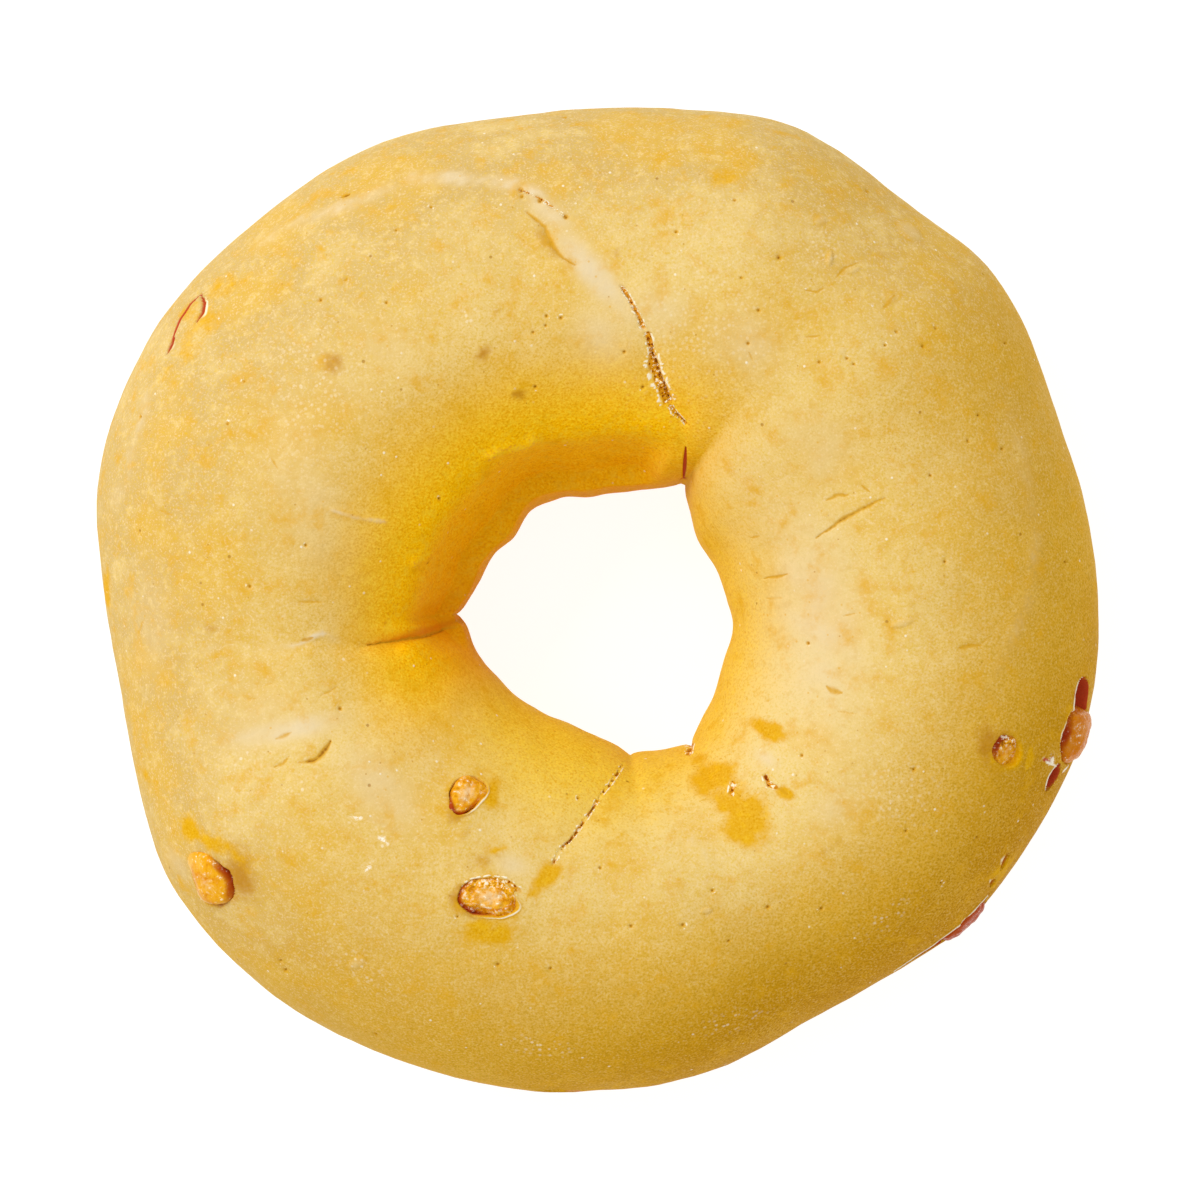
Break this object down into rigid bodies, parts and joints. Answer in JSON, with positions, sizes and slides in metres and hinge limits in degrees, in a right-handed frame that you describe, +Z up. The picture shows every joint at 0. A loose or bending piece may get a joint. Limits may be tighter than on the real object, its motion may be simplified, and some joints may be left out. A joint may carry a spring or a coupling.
{
  "type": "bagel",
  "caption": "Pale golden boiled and baked bread ring with an open centre hole, a flat foot and amber chips baked into its skin.",
  "frame": {"origin": "middle of the bounding box in X and Y, on the surface that the flat foot rests on", "axes": "+Z up through the hole; +Y towards the fold seam with the open crack, +X to its right seen from above"},
  "size_m": [0.1049, 0.1032, 0.0356],
  "materials": {
    "dough": "thin smooth boiled and baked bread crust, pale golden, satin, with fine blisters and pores",
    "chip": "baked amber filling, glossy, slightly translucent"
  },
  "bodies": {
    "root": {"dough_ring": "dough", "chip_1": "chip", "chip_2": "chip", "chip_3": "chip", "chip_4": "chip", "chip_5": "chip", "chip_6": "chip", "chip_7": "chip", "chip_8": "chip"}
  },
  "joints": []
}
